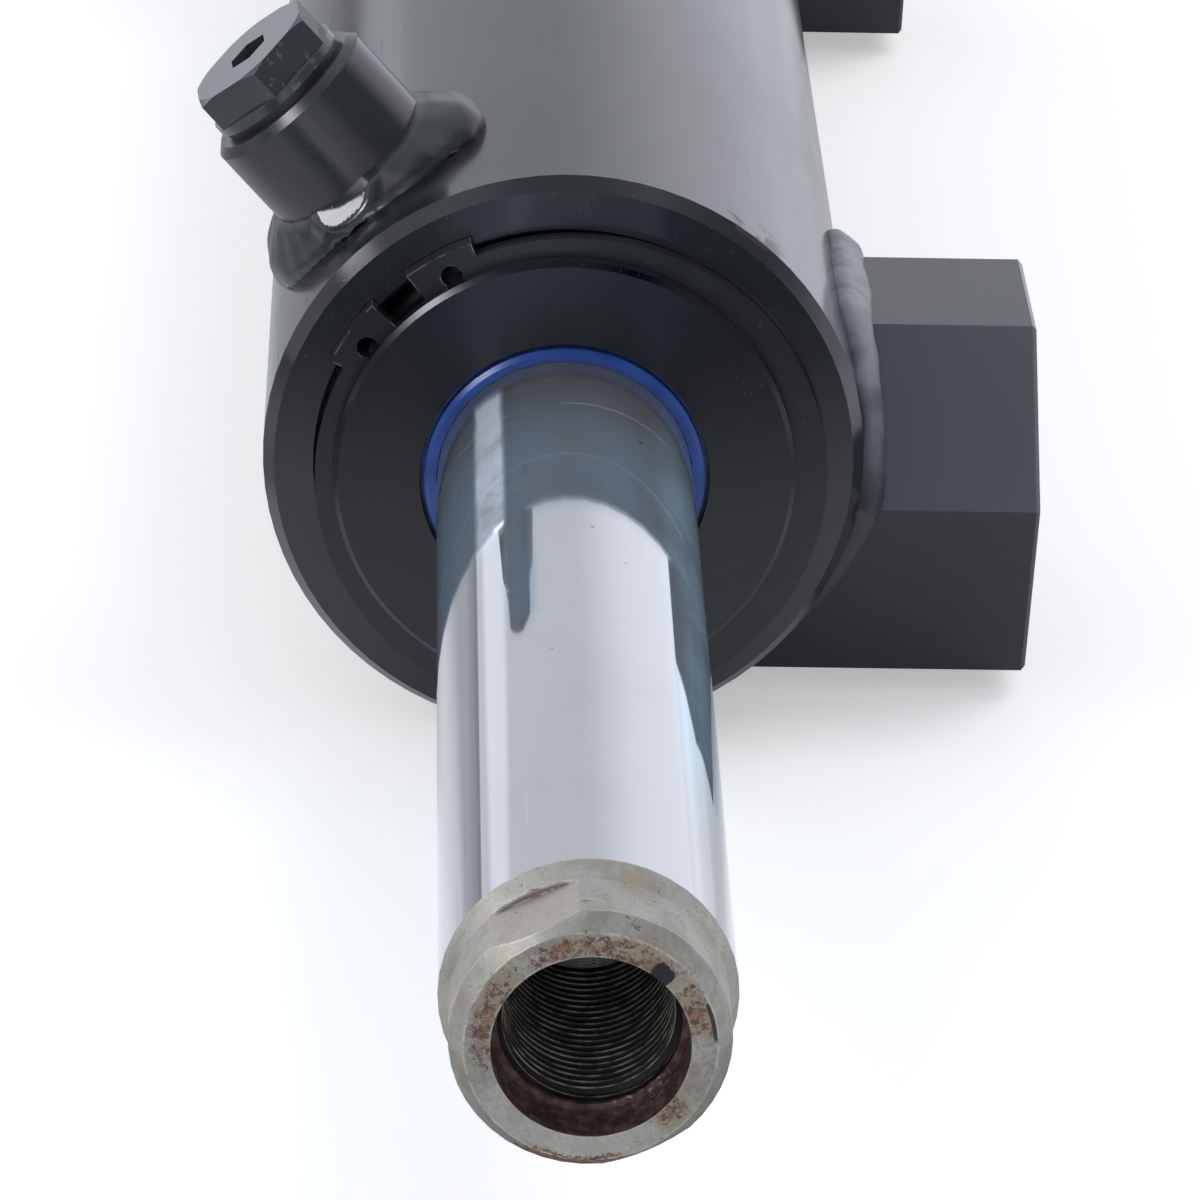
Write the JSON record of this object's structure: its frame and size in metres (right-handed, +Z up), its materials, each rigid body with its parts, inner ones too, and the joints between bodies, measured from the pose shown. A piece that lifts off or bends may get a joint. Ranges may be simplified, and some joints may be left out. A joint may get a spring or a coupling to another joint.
{
  "type": "hydraulic steering cylinder",
  "caption": "Double-ended hydraulic steering cylinder: chromed rod through a black barrel, hexagonal tapped mounting blocks on one side and plugged oil ports above.",
  "frame": {"origin": "midway between the tapped holes of the two mounting blocks, in the plane of the blocks' outer faces", "axes": "+X out of the blocks' outer faces, +Y along the rod away from the picture's camera, +Z up"},
  "size_m": [0.1212, 0.709, 0.1],
  "materials": {
    "black_paint": "semi-gloss black spray paint",
    "weld_paint": "black paint over a weld bead",
    "gland_paint": "satin black paint over turned steel",
    "circlip_paint": "black paint over spring steel, scraped at its edges",
    "plug_paint": "black paint that shows light where it was held",
    "plug_seal_steel": "painted sealing washer",
    "hard_chrome": "ground and polished hard chrome, bare steel with some rust at the ends",
    "turned_steel": "turned, oiled",
    "spring_steel": "phosphated, oiled",
    "spring_wire": "drawn wire, oiled",
    "blue_polyurethane": "blue polyurethane",
    "seal_polyurethane": "polyurethane, oiled",
    "guide_fabric": "phenolic cloth",
    "black_rubber": "nitrile rubber",
    "backup_plastic": "PTFE",
    "slide_ring_plastic": "bronze-filled PTFE"
  },
  "bodies": {
    "barrel": {"barrel_tube": "black_paint", "front_gland": "gland_paint", "front_circlip": "circlip_paint", "front_wire_ring": "spring_wire", "front_wiper": "blue_polyurethane", "front_rod_seal": "seal_polyurethane", "front_rod_guide_rings": "guide_fabric", "front_gland_o_ring": "black_rubber", "front_gland_backup_ring": "backup_plastic", "front_port_boss": "black_paint", "front_port_weld": "weld_paint", "front_port_plug": "plug_paint", "front_port_plug_seal": "plug_seal_steel", "front_mount_block": "black_paint", "front_mount_weld": "weld_paint", "rear_gland": "gland_paint", "rear_circlip": "circlip_paint", "rear_wire_ring": "spring_wire", "rear_wiper": "blue_polyurethane", "rear_rod_seal": "seal_polyurethane", "rear_rod_guide_rings": "guide_fabric", "rear_gland_o_ring": "black_rubber", "rear_gland_backup_ring": "backup_plastic", "rear_port_boss": "black_paint", "rear_port_weld": "weld_paint", "rear_port_plug": "plug_paint", "rear_port_plug_seal": "plug_seal_steel", "rear_mount_block": "black_paint", "rear_mount_weld": "weld_paint"},
    "piston_rings": {"piston_seal": "slide_ring_plastic", "piston_seal_energiser": "black_rubber", "piston_wear_rings": "guide_fabric"},
    "rod": {"piston_rod": "hard_chrome", "piston": "turned_steel", "piston_clips": "spring_steel", "piston_bore_o_ring": "black_rubber"}
  },
  "joints": [
    {"name": "rod_slide", "type": "slide", "parent": "barrel", "child": "piston_rings", "axis": [0, 1, 0], "range_m": [-0.11, 0.11]},
    {"name": "rod_turn", "type": "hinge", "parent": "piston_rings", "child": "rod", "pos_m": [-0.0685, 0, 0.0135], "axis": [0, 1, 0], "continuous": true}
  ]
}
